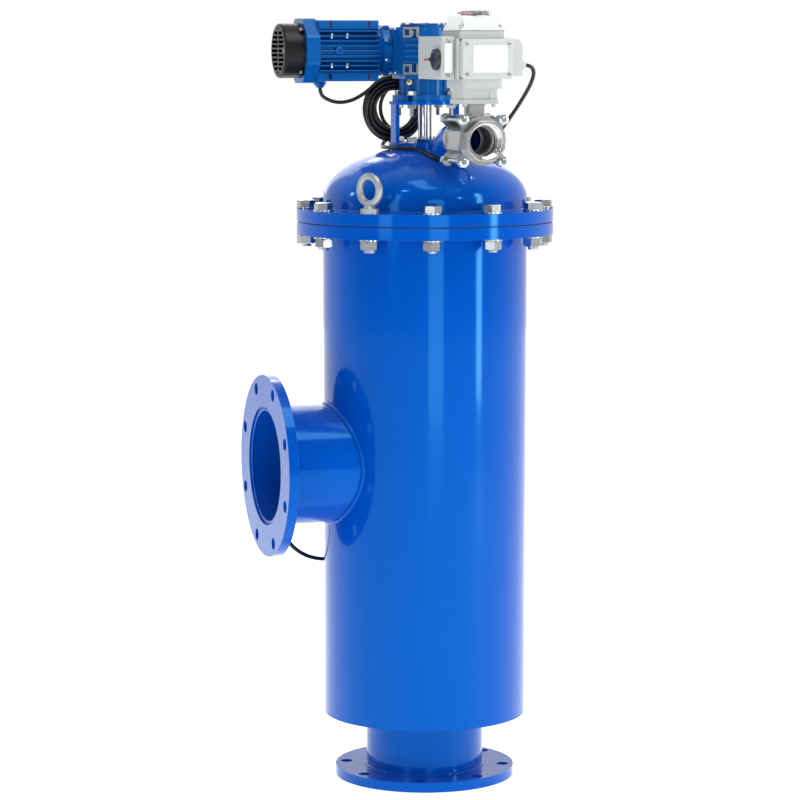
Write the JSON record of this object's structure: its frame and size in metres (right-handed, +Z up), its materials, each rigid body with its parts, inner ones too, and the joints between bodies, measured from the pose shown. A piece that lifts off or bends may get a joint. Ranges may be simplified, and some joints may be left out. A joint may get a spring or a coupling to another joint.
{
  "type": "wastewater filter",
  "caption": "Upright self-cleaning wastewater filter with flanged inlet and outlet, motor-driven suction scanner and an electric drain valve.",
  "frame": {"origin": "centre of the inlet flange's bottom face, on the vessel's axis", "axes": "+Z up the vessel's axis, outlet flange along -X, drain valve along -Y"},
  "size_m": [0.5475, 0.5675, 1.426],
  "materials": {
    "vessel_paint": "gloss enamel over sprayed steel",
    "drive_paint": "semi-gloss paint over cast aluminium",
    "zinc": "bright zinc-plated steel",
    "stainless": "cast and turned stainless steel",
    "rubber": "black rubber",
    "cable": "black cable sheath",
    "bronze": "turned bronze",
    "worm_steel": "ground steel",
    "lamination": "laminated iron and winding",
    "cowl_plastic": "black moulded plastic",
    "actuator_paint": "light grey powder coat",
    "knob_plastic": "dark moulded plastic",
    "window_plastic": "clear moulded window",
    "indicator_paint": "red indicator",
    "ptfe": "white seat ring",
    "switch_plastic": "dark grey housing"
  },
  "bodies": {
    "filter": {"vessel_shell": "vessel_paint", "inlet_nozzle": "vessel_paint", "outlet_nozzle": "vessel_paint", "body_flange": "vessel_paint", "cover_flange": "vessel_paint", "cover_dome": "vessel_paint", "drain_elbow": "vessel_paint", "drive_yoke": "vessel_paint", "gland_follower": "vessel_paint", "gearbox_flange": "drive_paint", "gearbox_housing": "drive_paint", "output_cover": "drive_paint", "motor_flange": "drive_paint", "motor_housing": "drive_paint", "motor_end_ring": "drive_paint", "terminal_box": "drive_paint", "motor_gland": "drive_paint", "cover_bolts": "zinc", "cover_nuts": "zinc", "eye_bolts": "zinc", "yoke_bolts": "zinc", "housing_screws": "zinc", "screen_cage": "stainless", "wire_screen": "stainless", "chamber_plate": "stainless", "plate_screws": "stainless", "bottom_spider": "stainless", "valve_end_caps": "stainless", "valve_body": "stainless", "valve_bolts": "stainless", "actuator_bracket": "stainless", "main_gasket": "rubber", "screen_seals": "rubber", "shaft_seals": "rubber", "motor_cord": "cable", "actuator_cord": "cable", "sensing_hose": "cable", "cord_coil": "cable", "scanner_bushes": "bronze", "bearings": "worm_steel", "motor_stator": "lamination", "fan_cowl": "cowl_plastic", "actuator_body": "actuator_paint", "actuator_covers": "actuator_paint", "actuator_gland": "actuator_paint", "top_cover": "actuator_paint", "indicator_window": "window_plastic", "valve_seats": "ptfe", "pressure_switch": "switch_plastic"},
    "scanner": {"scanner_tube": "stainless", "suction_nozzles": "stainless", "drive_shaft": "stainless", "worm_wheel": "bronze"},
    "motor_rotor_set": {"motor_rotor": "lamination", "motor_fan": "cowl_plastic", "worm_shaft": "worm_steel"},
    "valve_spindle": {"valve_ball": "stainless", "valve_stem": "stainless", "position_indicator": "indicator_paint"},
    "knob": {"override_knob": "knob_plastic"}
  },
  "joints": [
    {"name": "motor_spin", "type": "hinge", "parent": "filter", "child": "motor_rotor_set", "pos_m": [-0.15, 0.05, 1.35525], "axis": [1, 0, 0], "continuous": true},
    {"name": "scanner_spin", "type": "hinge", "parent": "filter", "child": "scanner", "pos_m": [0, 0, 0.6], "axis": [0, 0, 1], "continuous": true},
    {"name": "valve_turn", "type": "hinge", "parent": "filter", "child": "valve_spindle", "pos_m": [0.007, -0.255, 1.199], "axis": [0, 0, 1], "range_deg": [0, 90]},
    {"name": "override_knob_turn", "type": "hinge", "parent": "filter", "child": "knob", "pos_m": [-0.068, -0.275, 1.341], "axis": [1, 0, 0], "range_deg": [-90, 0]}
  ],
  "couplings": [
    {"joint": "scanner_spin", "follows": "motor_spin", "ratio": 0.02}
  ]
}
